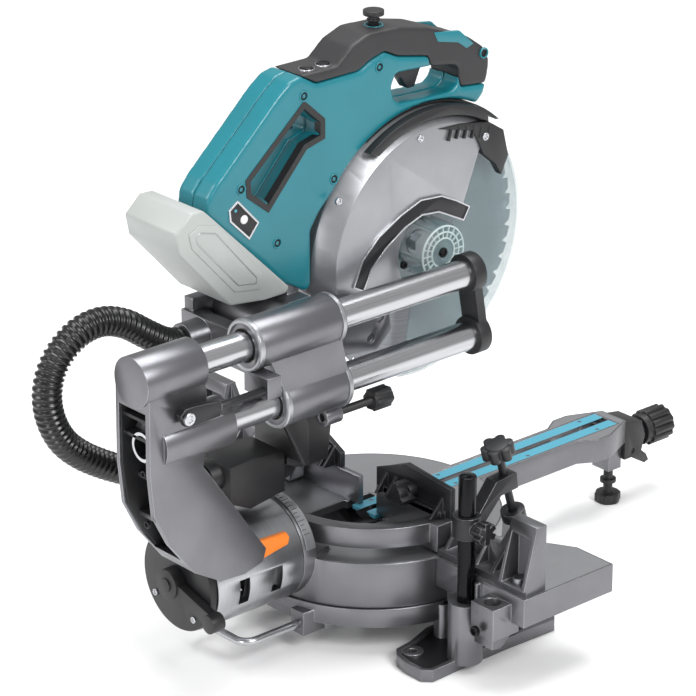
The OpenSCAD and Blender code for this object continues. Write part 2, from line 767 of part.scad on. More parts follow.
module slide_bushes() color("#c6a15a") on_table() {
    for (y = [sleeve_up[0] + 3, sleeve_up[1] - 23])
        ring_y(rail_r + fit, rail_r + 1.98, -rail_x, [y, y + 20], rail_up_h);
    for (y = [sleeve_lo[0] + 3, sleeve_lo[1] - 23])
        ring_y(rail_r + fit, rail_r + 1.98, -rail_x, [y, y + 20], rail_lo_h);
}

module slide_knob() color("#1b1b1d") on_table() {
    rod_y(4, -rail_x, [60, 126], knob_h);
    rod_y(9, -rail_x, [48, 70], knob_h);
    for (a = [0:60:300])
        translate([-rail_x, 0, knob_h]) rotate([0, a, 0]) rod_y(3, 8, [49, 69], 0);
}

module dust_chute() color("#1b1b1d") on_table() {
    difference() {
        side_plate([-24, 24], [[78, 84], [72, 130], [100, 141], [129, 141], [129, 92], [110, 84]]);
        side_plate([-21, 21], [[60, 70], [60, 150], [124, 150], [124, 70]]);
    }
    box([-46, -23], [124, 129], [100, 141]);
    side_plate([-50, -45], [[124, 100], [129, 100], [160, 160], [160, 195.5], [146, 195.5], [124, 141]]);
}

module pivot_pin() color("#9a9a9e") on_table() {
    rod_x(pin_r, [-58, 42], pivot_y, pivot_h);
    translate([42, pivot_y, pivot_h]) rotate([0, 90, 0]) cylinder(r = 13, h = 7, $fn = 6);
}

/* Head */

module swing_arm() color("#7d7d81") on_table() difference() {
    union() {
        rod_x(24, [-44.5, 29.5], pivot_y, pivot_h);
        side_plate([-44.5, -33], [
            [150, 264], [60, 250], [20, 230], [16, 206], [34, 190], [80, 196], [120, 220], [150, 216]
        ]);
        side_plate([drive_x + 1, 29.5], [[150, 262], [112, 262], [104, 250], [104, 224], [150, 216]]);
        side_plate([-36, 12], [[110, 262], [140, 262], [140, 218], [110, 218]]);
        box([-20, 12], [110, 124], [261, 296]);
    }
    rod_x(pin_r + fit, [-46, 31], pivot_y, pivot_h);
    for (p = [[42, 204], [30, 222]])
        rod_x(5, [-46, -42], p[0], p[1]);
}

case_zone = [
    [-150, 420], [-143, 383], [-128, 373], [-107, 353], [-88, 305], [-90, 267], [-80, 240],
    [-50, 225], [10, 230], [60, 240], [92, 250], [92, 420]
];

module blade_case() color("#a5a5a8") on_table() difference() {
    intersection() {
        difference() {
            blade_turned([
                [0, -32], [124, -32], [case_in_r + case_wall, -14], [case_in_r + case_wall, drive_x - 0.1],
                [0, drive_x - 0.1]
            ]);
            blade_turned([
                [0, -29.5], [122.5, -29.5], [case_in_r, -12.6], [case_in_r, drive_x - 2.6],
                [0, drive_x - 2.6]
            ]);
        }
        side_plate([-40, 40], case_zone);
    }
    rod_x(46, [-40, 0], blade_y, blade_h);
    rod_x(36, [0, 40], blade_y, blade_h);
}

module case_trim() color("#232326") on_table() intersection() {
    blade_turned([
        [case_in_r + case_wall + 0.1, -18], [case_in_r + case_wall + 2.6, -18],
        [case_in_r + case_wall + 2.6, -2], [case_in_r + case_wall + 0.1, -2]
    ]);
    side_plate([-40, 40], [[-150, 440], [-150, 372], [-96, 380], [20, 372], [40, 440]]);
}

module rounded(r) {
    offset(r = r, $fn = 24) offset(delta = -r) children();
}

module handle_outline() {
    difference() {
        rounded(6) polygon(handle_points);
        rounded(4) polygon(hole_points);
        rounded(5) polygon(carry_points);
        translate([blade_y, blade_h]) circle(r = case_in_r + case_wall + 3.5, $fn = 96);
    }
}

module handle_shell(x0, x1, wall_side) {
    difference() {
        side_shape([x0, x1]) difference() {
            handle_outline();
            offset(delta = 0.2) polygon(grip_zone);
        }
        side_shape([x0 + (wall_side < 0 ? shell_wall : -1), x1 - (wall_side > 0 ? shell_wall : -1)])
            offset(delta = -shell_wall) difference() {
                handle_outline();
                polygon(grip_zone);
            }
        box([-20.1, 12.1], [109.9, 124.1], [250, 296.1]);
        box([-9.5, 9.5], [-62, -13], [430, 459]);
    }
}

module handle_left() color("#1e8a96") on_table() handle_shell(-handle_w / 2, -0.05, -1);

module handle_right() color("#1e8a96") on_table() handle_shell(0.05, handle_w / 2, 1);

module handle_grip() color("#3a383b") on_table() difference() {
    side_shape([-handle_w / 2 + 1, handle_w / 2 - 1]) intersection() {
        handle_outline();
        polygon(grip_zone);
    }
    side_shape([-handle_w / 2 + 5, handle_w / 2 - 5]) offset(delta = -5) intersection() {
        handle_outline();
        polygon(grip_zone);
    }
    rod_z(5 + fit, 0, 0, [470, 500]);
    rod_x(3 + fit, [-9.5, 9.5], -18, 446);
    box([-6.5, 6.5], [-62, -14], [436, 468]);
}

module drive_outline(r_blade, r_motor) {
    hull() {
        translate([blade_y, blade_h]) circle(r = r_blade, $fn = 48);
        translate([motor_y, motor_h]) circle(r = r_motor, $fn = 48);
    }
}

module drive_housing() color("#3c3c40") on_table() difference() {
    union() {
        side_shape([drive_x + 0.1, drive_x + drive_w]) drive_outline(40, 30);
        rod_x(34, [9, drive_x + 0.2], blade_y, blade_h);
        side_plate([29.6, drive_x + drive_w], [[20, 290], [20, 340], [118, 290], [118, 262]]);
    }
    side_shape([drive_x + 12, drive_x + drive_w - 3]) drive_outline(36, 26);
    rod_x(10.2, [0, drive_x + 13], blade_y, blade_h);
    rod_x(8 + fit, [drive_x + 20, 100], motor_y, motor_h);
}

module motor_housing() color("#1e8a96") on_table() difference() {
    union() {
        rod_x(motor_r, [drive_x + drive_w + 0.1, 134], motor_y, motor_h);
        rod_x(motor_r - 6, [133, 140], motor_y, motor_h);
    }
    rod_x(motor_r - 4, [drive_x + drive_w + 4, 132], motor_y, motor_h);
    rod_x(8 + fit, [drive_x + drive_w, 80], motor_y, motor_h);
    for (a = [0:30:330])
        translate([0, motor_y, motor_h]) rotate([a, 0, 0]) box([112, 128], [-3, 3], [motor_r - 8, motor_r + 1]);
}

module drive_belt() color("#141415") on_table() difference() {
    side_shape([41, 51]) drive_outline(pulley_big + 3, pulley_small + 3);
    side_shape([40, 52]) drive_outline(pulley_big + 0.3, pulley_small + 0.3);
}

module motor_rotor() color("#8d8d90") on_table() {
    rod_x(8, [39, 128], motor_y, motor_h);
    rod_x(pulley_small, [40, 52], motor_y, motor_h);
    rod_x(24, [70, 104], motor_y, motor_h);
    rod_x(34, [108, 114], motor_y, motor_h);
}

// The guard's sector, with its round hub.
module guard_zone() {
    sector = [for (a = [-guard_down:29:guard_up]) [blade_y - 200 * cos(a), blade_h + 200 * sin(a)]];
    side_plate([-40, 40], concat([[blade_y, blade_h]], sector));
    rod_x(39, [-30, 30], blade_y, blade_h);
}

module lower_guard() color("#8fa3a6") on_table() difference() {
    intersection() {
        difference() {
            blade_turned([[0, -12], [guard_r - 6, -12], [guard_r, -7], [guard_r, 12], [0, 12]]);
            blade_turned([
                [0, -12 + guard_wall], [guard_r - 7, -12 + guard_wall], [guard_r - guard_wall, -6.2],
                [guard_r - guard_wall, 12 - guard_wall], [0, 12 - guard_wall]
            ]);
        }
        guard_zone();
    }
    rod_x(34 + fit, [8, 13], blade_y, blade_h);
    rod_x(24, [-13, -8], blade_y, blade_h);
}

module guard_dome() color("#9fb5b0") on_table() difference() {
    union() {
        rod_x(26, [-44, -12.1], blade_y, blade_h);
        for (a = [0:30:330])
            translate([0, blade_y, blade_h]) rotate([a, 0, 0]) box([-42, -13], [-2, 2], [24, 29]);
    }
    rod_x(23.5, [-42, -12], blade_y, blade_h);
}

function tooth(i) = 360 * i / tooth_count;

module blade() color("#b9bbbe") on_table() difference() {
    translate([-blade_t / 2, blade_y, blade_h]) rotate([90, 0, 90]) linear_extrude(blade_t) polygon([
        for (i = [0:tooth_count - 1]) each [
            [blade_r * cos(tooth(i)), blade_r * sin(tooth(i))],
            [(blade_r - 1.5) * cos(tooth(i + 0.6)), (blade_r - 1.5) * sin(tooth(i + 0.6))],
            [(blade_r - 7) * cos(tooth(i + 0.85)), (blade_r - 7) * sin(tooth(i + 0.85))]
        ]
    ]);
    rod_x(arbor_r, [-5, 5], blade_y, blade_h);
}

module arbor() color("#8d8d90") on_table() {
    rod_x(arbor_r - fit, [-8, 8.8], blade_y, blade_h);
    rod_x(10, [8.7, 54], blade_y, blade_h);
    rod_x(22, [blade_t / 2 + 0.02, 7], blade_y, blade_h);
    rod_x(22, [-7, -blade_t / 2 - 0.02], blade_y, blade_h);
    translate([-14, blade_y, blade_h]) rotate([0, 90, 0]) cylinder(r = 9, h = 7.1, $fn = 6);
    rod_x(pulley_big, [40, 52], blade_y, blade_h);
}

module trigger() color("#161617") on_table() {
    rod_x(3, [-9, 9], -18, 446);
    side_plate([-6, 6], [[-16, 449], [-52, 451], [-54, 442], [-46, 424], [-38, 424], [-30, 436], [-16, 442]]);
}

module lock_off_button() color("#161617") on_table() {
    rod_z(5, 0, 0, [478, 503]);
    rod_z(10, 0, 0, [502, 507]);
    rod_z(6.5, 0, 0, [496.6, 498.6]);
}

module battery() color("#c8ccc8") on_table() difference() {
    side_plate([-31, 44], [
        [222, 373], [244, 374], [262, 358], [258, 338], [200, 274], [160, 269], [134, 269], [130, 274],
        [150, 310]
    ]);
    translate([0, gap / 2, -gap / 2])
        side_plate([-40, 60], concat(battery_line, [[240, 384], [150, 400], [100, 330], [100, 246]]));
}

base_casting();
rubber_feet();
wire_stay();
mitre_scale();
fence_fixed();
fence_bolts();
pivot_bolt();
pivot_bush();
turntable();
kerf_board_left();
kerf_board_right();
kerf_screws();
grip_housing();
bevel_scale();
mitre_grip();
mitre_lock_rod();
mitre_latch_lever();
foot_bolt();
sub_fence_left();
sub_fence_right();
fence_knob_left();
fence_knob_right();
vise_post();
vise_arm();
vise_knob();
vise_pad();
bevel_hub();
hub_cap();
arm_casting();
rail_upper();
rail_lower();
rail_end_cap();
dust_duct();
dust_hose();
bevel_lock_lever();
bevel_latch();
stopper_arm();
bevel_pin();
carriage();
slide_bushes();
slide_knob();
dust_chute();
pivot_pin();
swing_arm();
blade_case();
case_trim();
handle_left();
handle_right();
handle_grip();
drive_housing();
motor_housing();
drive_belt();
motor_rotor();
lower_guard();
guard_dome();
blade();
arbor();
trigger();
lock_off_button();
battery();
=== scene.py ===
import json
import math

import bmesh
import bpy
from mathutils import Matrix, Vector


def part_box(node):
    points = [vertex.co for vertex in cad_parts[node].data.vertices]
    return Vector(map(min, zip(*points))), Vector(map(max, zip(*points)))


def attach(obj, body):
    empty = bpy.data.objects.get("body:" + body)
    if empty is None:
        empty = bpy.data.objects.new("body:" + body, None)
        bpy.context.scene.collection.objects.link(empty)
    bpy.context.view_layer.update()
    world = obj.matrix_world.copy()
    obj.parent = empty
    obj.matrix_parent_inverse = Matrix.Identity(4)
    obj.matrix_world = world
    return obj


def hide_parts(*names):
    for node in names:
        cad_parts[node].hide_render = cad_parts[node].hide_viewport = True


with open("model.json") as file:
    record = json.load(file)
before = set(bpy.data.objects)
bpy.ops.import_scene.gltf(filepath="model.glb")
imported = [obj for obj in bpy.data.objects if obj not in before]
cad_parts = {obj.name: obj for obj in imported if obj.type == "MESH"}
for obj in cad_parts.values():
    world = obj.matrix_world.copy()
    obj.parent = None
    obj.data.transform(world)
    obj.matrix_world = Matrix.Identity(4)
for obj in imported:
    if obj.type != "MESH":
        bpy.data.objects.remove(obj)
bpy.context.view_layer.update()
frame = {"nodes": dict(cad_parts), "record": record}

nodeBody = {n: b for b, nodes in frame["record"]["behaviour"]["bodies"].items() for n in nodes}
nodeSlot = {part["node"]: part["material_slot"] for part in frame["record"]["subparts"]}
mm = 0.001
tableTop = 95 * mm


def hexColour(text):
    # sRGB hex to the linear colour that shaders work in
    parts = [int(text[i:i + 2], 16) / 255 for i in (1, 3, 5)]
    return [c / 12.92 if c <= 0.04045 else ((c + 0.055) / 1.055) ** 2.4 for c in parts] + [1.0]


def addNode(tree, kind, inputs=None, **settings):
    made = tree.nodes.new("ShaderNode" + kind)
    for key, value in settings.items():
        setattr(made, key, value)
    for key, value in (inputs or {}).items():
        if isinstance(value, bpy.types.NodeSocket):
            tree.links.new(value, made.inputs[key])
        else:
            made.inputs[key].default_value = value
    return made


def newMaterial(name):
    material = bpy.data.materials.new(name)
    material.use_nodes = True
    return material, material.node_tree, material.node_tree.nodes["Principled BSDF"]


def pieceFromBmesh(name, bm, node, smooth=35):
    # a new piece that rides with the body of the CAD node it belongs to
    bmesh.ops.remove_doubles(bm, verts=bm.verts, dist=0.00001)
    bmesh.ops.recalc_face_normals(bm, faces=bm.faces)
    mesh = bpy.data.meshes.new(name)
    bm.to_mesh(mesh)
    bm.free()
    piece = bpy.data.objects.new(name, mesh)
    bpy.context.scene.collection.objects.link(piece)
    mesh.shade_smooth()
    mesh.set_sharp_from_angle(angle=math.radians(smooth))
    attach(piece, nodeBody[node])
    return piece


def setMaterial(piece, material):
    piece.data.materials.clear()
    piece.data.materials.append(material)


def applied(piece):
    # bakes the live modifiers into the piece's own mesh
    bpy.context.view_layer.update()
    ready = piece.evaluated_get(bpy.context.evaluated_depsgraph_get())
    mesh = bpy.data.meshes.new_from_object(ready)
    piece.modifiers.clear()
    piece.data = mesh
    return piece


def mottled(tree, position, colour, shade, size):
    # slow colour change over the surface, size in millimetres
    noise = addNode(tree, "TexNoise", {"Vector": position, "Scale": 1000 / size, "Detail": 4.0})
    blend = addNode(tree, "MixRGB", {"Fac": noise.outputs["Fac"], "Color1": hexColour(colour),
                                     "Color2": hexColour(shade)})
    return noise, blend


def surface(name, look):
    # one recipe for castings, mouldings and plain metal: mottled colour, grain, soft worn edges
    material, tree, shader = newMaterial(name)
    position = addNode(tree, "TexCoord").outputs["Object"]
    slow, colour = mottled(tree, position, look["colour"], look["shade"], look.get("patch", 40))
    rounded = addNode(tree, "Bevel", {"Radius": look.get("edge", 0.8) * mm}, samples=4)
    flat = addNode(tree, "NewGeometry")
    facing = addNode(tree, "VectorMath", {0: rounded.outputs["Normal"], 1: flat.outputs["Normal"]},
                     operation="DOT_PRODUCT")
    worn = addNode(tree, "MapRange", {"Value": facing.outputs["Value"], "From Min": 0.985,
                                      "From Max": 0.9, "To Max": look.get("wear", 0.3)})
    edged = addNode(tree, "MixRGB", {"Fac": worn.outputs["Result"], "Color1": colour.outputs["Color"],
                                     "Color2": hexColour(look.get("edgeColour", look["colour"]))})
    grain = addNode(tree, "TexNoise", {"Vector": position, "Scale": 1000 / look.get("grain", 1.2),
                                       "Detail": 3.0})
    bump = addNode(tree, "Bump", {"Strength": look.get("bump", 0.15), "Distance": 0.0003,
                                  "Height": grain.outputs["Fac"], "Normal": rounded.outputs["Normal"]})
    rough = addNode(tree, "MapRange", {"Value": slow.outputs["Fac"], "To Min": look["rough"] - 0.06,
                                       "To Max": look["rough"] + 0.06})
    tree.links.new(edged.outputs["Color"], shader.inputs["Base Color"])
    tree.links.new(rough.outputs["Result"], shader.inputs["Roughness"])
    tree.links.new(bump.outputs["Normal"], shader.inputs["Normal"])
    shader.inputs["Metallic"].default_value = look.get("metal", 0.0)
    shader.inputs["Coat Weight"].default_value = look.get("coat", 0.0)
    shader.inputs["Coat Roughness"].default_value = 0.15
    return material


def streaked(name, look):
    # ground or turned steel: fine lines along one axis, stretched far along the others
    material, tree, shader = newMaterial(name)
    position = addNode(tree, "TexCoord").outputs["Object"]
    placed = addNode(tree, "Mapping", {"Vector": position, "Scale": look["stretch"]})
    lines = addNode(tree, "TexNoise", {"Vector": placed.outputs["Vector"], "Scale": 1.0, "Detail": 3.0})
    colour = addNode(tree, "MixRGB", {"Fac": lines.outputs["Fac"], "Color1": hexColour(look["colour"]),
                                      "Color2": hexColour(look["shade"])})
    bump = addNode(tree, "Bump", {"Strength": look["bump"], "Distance": 0.0002,
                                  "Height": lines.outputs["Fac"]})
    tree.links.new(colour.outputs["Color"], shader.inputs["Base Color"])
    tree.links.new(bump.outputs["Normal"], shader.inputs["Normal"])
    shader.inputs["Metallic"].default_value = 1.0
    shader.inputs["Roughness"].default_value = look["rough"]
    return material


def turnedSteel(name, centre, look):
    # ground disc: rings round the blade's axis, from the distance to that axis
    material, tree, shader = newMaterial(name)
    position = addNode(tree, "TexCoord").outputs["Object"]
    placed = addNode(tree, "Mapping", {"Vector": position, "Location": [-c for c in centre]})
    flat = addNode(tree, "VectorMath", {0: placed.outputs["Vector"], 1: (0.0, 1.0, 1.0)},
                   operation="MULTIPLY")
    radius = addNode(tree, "VectorMath", {0: flat.outputs["Vector"]}, operation="LENGTH")
    rings = addNode(tree, "TexNoise", {"W": radius.outputs["Value"], "Scale": 1000 / 1.5},
                    noise_dimensions="1D")
    colour = addNode(tree, "MixRGB", {"Fac": rings.outputs["Fac"], "Color1": hexColour(look["colour"]),
                                      "Color2": hexColour(look["shade"])})
    bump = addNode(tree, "Bump", {"Strength": 0.25, "Distance": 0.0002, "Height": rings.outputs["Fac"]})
    tree.links.new(colour.outputs["Color"], shader.inputs["Base Color"])
    tree.links.new(bump.outputs["Normal"], shader.inputs["Normal"])
    shader.inputs["Metallic"].default_value = 1.0
    shader.inputs["Roughness"].default_value = look["rough"]
    return material


def clearGuard(name, tint, weight):
    # smoke-tinted polycarbonate: mostly see-through, bright at its edges
    material, tree, shader = newMaterial(name)
    shader.inputs["Base Color"].default_value = hexColour(tint)
    shader.inputs["Roughness"].default_value = 0.06
    shader.inputs["Specular IOR Level"].default_value = 0.35
    position = addNode(tree, "TexCoord").outputs["Object"]
    scuff = addNode(tree, "TexNoise", {"Vector": position, "Scale": 60.0, "Detail": 6.0})
    edge = addNode(tree, "LayerWeight", {"Blend": 0.35})
    thin = addNode(tree, "MapRange", {"Value": edge.outputs["Facing"], "To Min": weight, "To Max": 0.7})
    marks = addNode(tree, "MapRange", {"Value": scuff.outputs["Fac"], "From Min": 0.45, "From Max": 0.75,
                                       "To Min": 0.0, "To Max": 0.06})
    cover = addNode(tree, "Math", {0: thin.outputs["Result"], 1: marks.outputs["Result"]},
                    operation="ADD", use_clamp=True)
    tree.links.new(cover.outputs["Value"], shader.inputs["Alpha"])
    return material


finishes = {
    # die-cast aluminium under grey paint: satin, slightly metallic, orange-peel grain
    "cast_grey": surface("paintedCastAluminium", {
        "colour": "#7E7E82", "shade": "#6C6C70", "rough": 0.33, "metal": 0.85, "grain": 1.6,
        "bump": 0.22, "wear": 0.6, "edgeColour": "#C4C4C8", "edge": 1.0}),
    # the same casting milled flat: bright and fine grained
    "machined": surface("milledAluminium", {
        "colour": "#B4B5B8", "shade": "#9C9DA1", "rough": 0.33, "metal": 0.9, "grain": 0.9,
        "bump": 0.12, "wear": 0.4, "edgeColour": "#D8D8DA"}),
    # dark powder coat over cast iron and steel
    "dark_cast": surface("powderCoatedSteel", {
        "colour": "#3A3A3D", "shade": "#2E2E31", "rough": 0.34, "metal": 0.7, "grain": 0.9,
        "bump": 0.25, "wear": 0.7, "edgeColour": "#A0A0A4"}),
    "steel": surface("zincPlatedSteel", {
        "colour": "#A2A3A6", "shade": "#85868A", "rough": 0.3, "metal": 1.0, "grain": 1.0, "bump": 0.1}),
    "chrome": streaked("groundChrome", {
        "colour": "#CFCFD2", "shade": "#A6A7AB", "rough": 0.24, "bump": 0.06,
        "stretch": (900.0, 12.0, 900.0)}),
    # glass-filled nylon: dull black with a fine spark texture
    "black_plastic": surface("glassFilledNylon", {
        "colour": "#1D1D1F", "shade": "#161618", "rough": 0.45, "grain": 0.8, "bump": 0.25,
        "wear": 0.35, "edgeColour": "#3C3C40"}),
    # overmoulded elastomer grip
    "grip_charcoal": surface("mouldedElastomer", {
        "colour": "#2A292B", "shade": "#201F21", "rough": 0.5, "grain": 0.9, "bump": 0.45,
        "wear": 0.3, "edgeColour": "#4A494D"}),
    # injection-moulded ABS in teal: satin with a soft shine
    "teal_housing": surface("mouldedTealAbs", {
        "colour": "#0F7480", "shade": "#0B6874", "rough": 0.33, "grain": 0.9, "bump": 0.12,
        "wear": 0.35, "edgeColour": "#3C9FAB", "coat": 0.15}),
    "kerf_blue": surface("mouldedBlueAcetal", {
        "colour": "#4B97AC", "shade": "#3F8BA1", "rough": 0.36, "grain": 1.2, "bump": 0.15,
        "wear": 0.4, "edgeColour": "#8CC8D6"}),
    "orange_lever": surface("mouldedOrangeNylon", {
        "colour": "#F0852E", "shade": "#DF7420", "rough": 0.36, "grain": 1.0, "bump": 0.12}),
    # aluminium blade case: metallic silver lacquer
    "case_silver": surface("silverLacquer", {
        "colour": "#A3A4A7", "shade": "#8F9094", "rough": 0.34, "metal": 0.75, "grain": 1.0,
        "bump": 0.1, "wear": 0.5, "edgeColour": "#E0E0E2", "coat": 0.2}),
    "guard_clear": clearGuard("tintedPolycarbonate", "#7D989C", 0.05),
    "hose_black": surface("extrudedPvcHose", {
        "colour": "#141415", "shade": "#0E0E0F", "rough": 0.27, "grain": 2.0, "bump": 0.1,
        "edge": 0.1}),
    "battery_grey": surface("mouldedPaleAbs", {
        "colour": "#A7ABA9", "shade": "#9B9F9D", "rough": 0.42, "grain": 0.9, "bump": 0.15,
        "wear": 0.4, "edgeColour": "#D4D7D5"}),
    "brass": surface("turnedBronze", {
        "colour": "#B98D4B", "shade": "#A57A3A", "rough": 0.3, "metal": 1.0, "bump": 0.1}),
    "rubber": surface("mouldedRubber", {
        "colour": "#1B1B1C", "shade": "#141415", "rough": 0.7, "bump": 0.4}),
    "belt": surface("ribbedBelt", {
        "colour": "#161617", "shade": "#0F0F10", "rough": 0.65, "bump": 0.4}),
}
bladeCentre = (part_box("blade")[0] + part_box("blade")[1]) / 2
bladeSteel = turnedSteel("groundBladeSteel", bladeCentre, {
    "colour": "#8E9094", "shade": "#6A6C70", "rough": 0.3})
hubLines = streaked("turnedHubAluminium", {
    "colour": "#C2C3C6", "shade": "#9A9B9F", "rough": 0.3, "bump": 0.15, "stretch": (20.0, 900.0, 20.0)})
gunBlue = surface("gunBluedSteel", {
    # polished, chemically blacked bar
    "colour": "#1E1E21", "shade": "#131315", "rough": 0.18, "metal": 0.8, "bump": 0.05,
    "wear": 0.6, "edgeColour": "#6A6A6E"})
signalWhite = surface("whiteNylon", {
    "colour": "#DADADA", "shade": "#CFCFCF", "rough": 0.45, "bump": 0.1})
print("materials made")


def makeStage():
    camera = bpy.data.objects.new("camera", bpy.data.cameras.new("camera"))
    bpy.context.scene.collection.objects.link(camera)
    forward = Vector((0.69301, -0.61097, -0.38268))
    camera.location = (-2.23615, 2.00280, 1.50712)
    camera.rotation_mode = "QUATERNION"
    camera.rotation_quaternion = forward.to_track_quat("-Z", "Y")
    camera.data.sensor_width = 36
    camera.data.lens = 174.8
    bpy.context.scene.camera = camera
    floorBm = bmesh.new()
    bmesh.ops.create_grid(floorBm, x_segments=1, y_segments=1, size=6)
    bmesh.ops.translate(floorBm, vec=(0, 0, -0.0005), verts=floorBm.verts)
    mesh = bpy.data.meshes.new("floor")
    floorBm.to_mesh(mesh)
    floorBm.free()
    floor = bpy.data.objects.new("floor", mesh)
    bpy.context.scene.collection.objects.link(floor)
    material, tree, shader = newMaterial("paleFloor")
    shader.inputs["Base Color"].default_value = hexColour("#F4F4F4")
    shader.inputs["Roughness"].default_value = 0.7
    setMaterial(floor, material)
    lamps = [
        # place, aim, size, power
        ((-2.6, 0.2, 2.2), (0, 0, 0.25), 1.2, 70),
        ((1.4, 2.6, 2.2), (0, 0, 0.3), 1.4, 46),
        ((0.2, -0.6, 3.2), (0, 0, 0.1), 2.0, 88),
        ((-1.0, 3.0, 0.8), (0, 0, 0.25), 0.9, 20),
    ]
    for i, (place, aim, size, power) in enumerate(lamps):
        lamp = bpy.data.lights.new(f"softbox{i}", "AREA")
        lamp.shape = "SQUARE"
        lamp.size = size
        lamp.energy = power
        holder = bpy.data.objects.new(f"softbox{i}", lamp)
        holder.location = place
        holder.rotation_mode = "QUATERNION"
        holder.rotation_quaternion = (Vector(aim) - Vector(place)).to_track_quat("-Z", "Y")
        bpy.context.scene.collection.objects.link(holder)
    world = bpy.data.worlds.new("studio")
    bpy.context.scene.world = world
    world.use_nodes = True
    world.node_tree.nodes["Background"].inputs["Color"].default_value = hexColour("#FFFFFF")
    world.node_tree.nodes["Background"].inputs["Strength"].default_value = 0.5
    bpy.context.scene.view_settings.view_transform = "Standard"


makeStage()
print("camera, light and floor made")


hose = {
    "diameter": 28 * mm,
    "pitch": 6 * mm,
    "ribDepth": 2.2 * mm,
    "sides": 28,
    "stepsPerRib": 6,
    "route": [
        (14, 222.1, 328), (14, 230, 328), (14, 244, 333), (15, 264, 346), (16, 286, 361),
        (17, 310, 369), (18, 334, 366), (19, 354, 353), (20, 367, 334), (20, 372, 311),
        (20, 368, 287), (20, 356, 264), (19, 338, 246), (17, 316, 231), (14, 292, 218),
        (10, 268, 206), (5, 246, 196), (1, 230, 190), (0, 221, 190), (0, 209.9, 190),
    ],
}


def smoothRoute(points, step):
    # points along a smooth curve through the route, a fixed step apart
    fine = []
    for i in range(len(points) - 1):
        before = points[max(i - 1, 0)]
        after = points[min(i + 2, len(points) - 1)]
        a, b = points[i], points[i + 1]
        for k in range(24):
            t = k / 24
            fine.append(0.5 * ((2 * a) + (b - before) * t + (2 * before - 5 * a + 4 * b - after) * t * t
                               + (3 * a - before - 3 * b + after) * t ** 3))
    fine.append(points[-1])
    lengths = [0.0]
    for a, b in zip(fine, fine[1:]):
        lengths.append(lengths[-1] + (b - a).length)
    count = round(lengths[-1] / step)
    even, reach = [], 0
    for k in range(count + 1):
        want = lengths[-1] * k / count
        while reach < len(fine) - 2 and lengths[reach + 1] < want:
            reach += 1
        part = (want - lengths[reach]) / max(lengths[reach + 1] - lengths[reach], 1e-9)
        even.append(fine[reach].lerp(fine[reach + 1], part))
    return even, lengths[-1]


def makeHose():
    # a corrugated tube: a ring of points spun along the route, its radius waving once a pitch
    points = [Vector(p) * mm for p in hose["route"]]
    line, length = smoothRoute(points, hose["pitch"] / hose["stepsPerRib"])
    bm = bmesh.new()
    ring = bmesh.ops.create_circle(bm, cap_ends=True, segments=hose["sides"], radius=1.0)["verts"]
    last = len(line) - 1
    for i, place in enumerate(line):
        ahead = (line[min(i + 1, last)] - line[max(i - 1, 0)]).normalized()
        side = ahead.cross(Vector((1, 0, 0))).normalized()
        across = ahead.cross(side)
        wave = math.cos(2 * math.pi * i / hose["stepsPerRib"])
        deep = hose["ribDepth"] * (0.5 - 0.5 * max(-1, min(1, 1.5 * wave)))
        if i < 2 or i > last - 2:
            deep = hose["ribDepth"]
        radius = hose["diameter"] / 2 - deep
        if i:
            grown = bmesh.ops.extrude_edge_only(bm, edges=openEdges)["geom"]
            ring = [g for g in grown if isinstance(g, bmesh.types.BMVert)]
        for k, vert in enumerate(ring):
            turn = 2 * math.pi * k / hose["sides"]
            vert.co = place + radius * (math.cos(turn) * side + math.sin(turn) * across)
        ringSet = set(ring)
        openEdges = [e for e in bm.edges if e.verts[0] in ringSet and e.verts[1] in ringSet] if i == 0 \
            else [g for g in grown if isinstance(g, bmesh.types.BMEdge)
                  and g.verts[0] in ringSet and g.verts[1] in ringSet]
    bmesh.ops.edgeloop_fill(bm, edges=openEdges)
    piece = pieceFromBmesh("corrugated_hose", bm, "dust_hose", 60)
    setMaterial(piece, finishes["hose_black"])
    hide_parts("dust_hose")
    return length


print("dust hose made, length", round(makeHose(), 4), "m")


def nodeCopy(node):
    bm = bmesh.new()
    bm.from_mesh(frame["nodes"][node].data)
    bmesh.ops.remove_doubles(bm, verts=bm.verts, dist=0.00001)
    return bm


softened = {
    # node: width of the rounded edge in millimetres
    "base_casting": 1.4, "turntable": 1.2, "fence_fixed": 1.0, "sub_fence_left": 1.0,
    "sub_fence_right": 1.0, "vise_arm": 1.2, "bevel_hub": 1.0, "arm_casting": 2.2, "carriage": 1.6,
    "rail_end_cap": 2.0, "dust_duct": 2.0, "dust_chute": 1.2, "swing_arm": 1.6, "blade_case": 1.0,
    "drive_housing": 2.0, "motor_housing": 1.6, "bevel_lock_lever": 1.6, "bevel_latch": 1.0,
    "stopper_arm": 1.0, "grip_housing": 1.6, "trigger": 1.2, "hub_cap": 1.6, "foot_bolt": 0.8,
    "mitre_grip": 0.8, "vise_knob": 0.8, "slide_knob": 0.8, "mitre_latch_lever": 1.2,
    "lock_off_button": 1.0, "guard_dome": 0.6, "vise_post": 1.0, "vise_pad": 0.8,
    "fence_knob_left": 0.8, "fence_knob_right": 0.8, "pivot_pin": 0.8, "case_trim": 0.5,
    "mitre_scale": 0.4, "battery": 2.4,
}


def softenNode(node, width):
    bm = nodeCopy(node)
    bmesh.ops.dissolve_limit(bm, angle_limit=math.radians(1), verts=bm.verts, edges=bm.edges)
    mesh = bpy.data.meshes.new(node + "_finished")
    bm.to_mesh(mesh)
    bm.free()
    piece = bpy.data.objects.new(node + "_finished", mesh)
    bpy.context.scene.collection.objects.link(piece)
    bevel = piece.modifiers.new("edges", "BEVEL")
    bevel.width = width * mm
    bevel.segments = 2
    bevel.limit_method = "ANGLE"
    bevel.angle_limit = math.radians(38)
    bevel.use_clamp_overlap = True
    bevel.harden_normals = False
    applied(piece)
    piece.data.shade_smooth()
    piece.data.set_sharp_from_angle(angle=math.radians(32))
    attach(piece, nodeBody[node])
    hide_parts(node)
    setMaterial(piece, finishes[nodeSlot[node]])
    return piece


